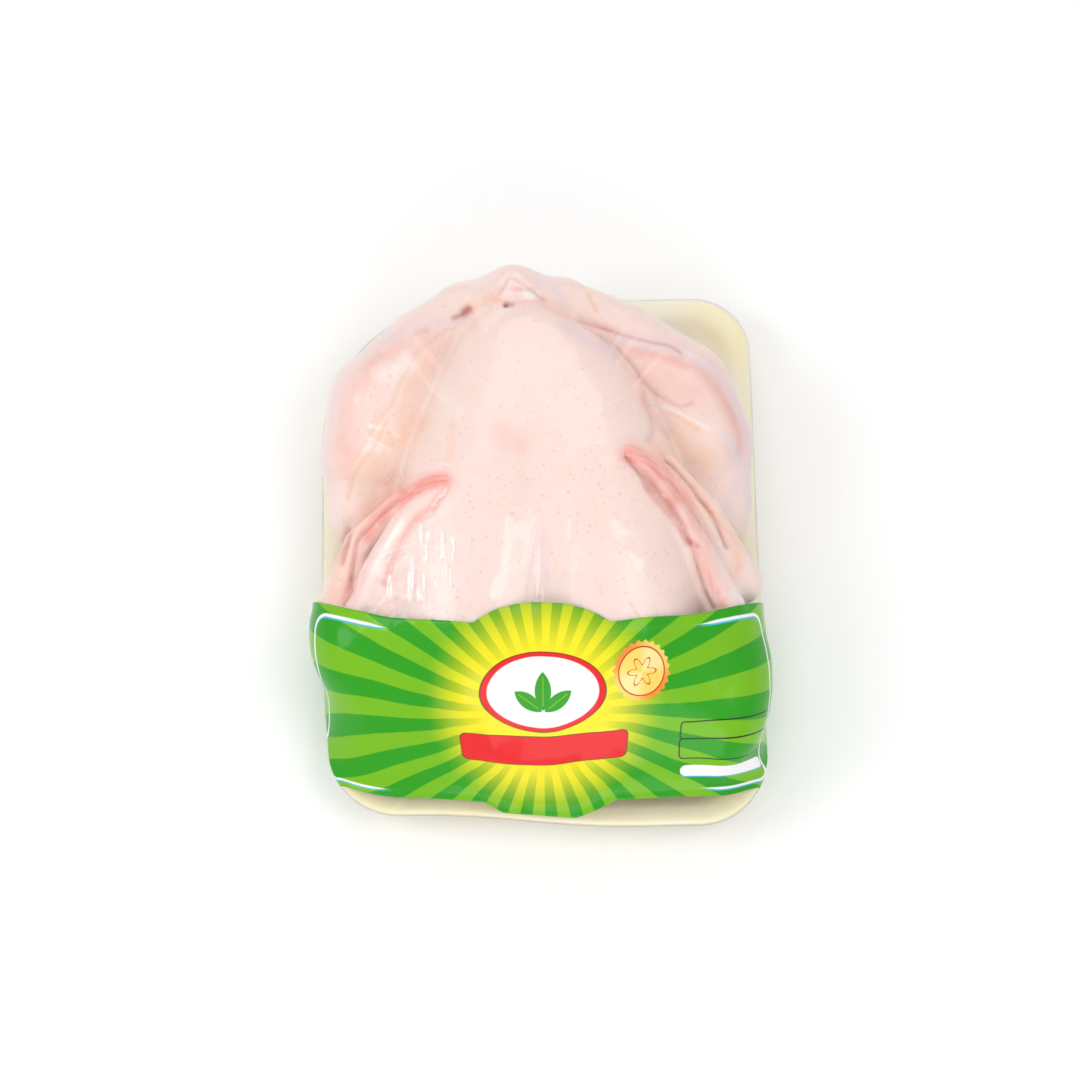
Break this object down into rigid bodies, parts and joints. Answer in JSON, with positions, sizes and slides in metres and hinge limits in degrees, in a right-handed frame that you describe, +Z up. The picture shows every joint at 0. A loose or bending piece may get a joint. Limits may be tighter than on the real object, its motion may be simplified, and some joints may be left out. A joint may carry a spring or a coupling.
{
  "type": "whole raw chicken",
  "caption": "Whole raw chicken lying breast up on a foam tray, sealed in taut clear film, with a printed band wrapped across its neck end.",
  "frame": {"origin": "centre of the tray's underside, on the surface the pack rests on", "axes": "+Z up, +Y from the bird's neck end to its tail along the tray's length, +X to the right seen from the neck end"},
  "size_m": [0.1966, 0.239, 0.0931],
  "materials": {
    "foam": "smooth pale yellow foam",
    "film_over_skin": "clear glossy film over pale pink raw skin",
    "printed_band": "glossy printed film, green rays round a yellow centre"
  },
  "bodies": {
    "root": {"tray": "foam", "wrapped_chicken": "film_over_skin", "label_band": "printed_band"}
  },
  "joints": []
}
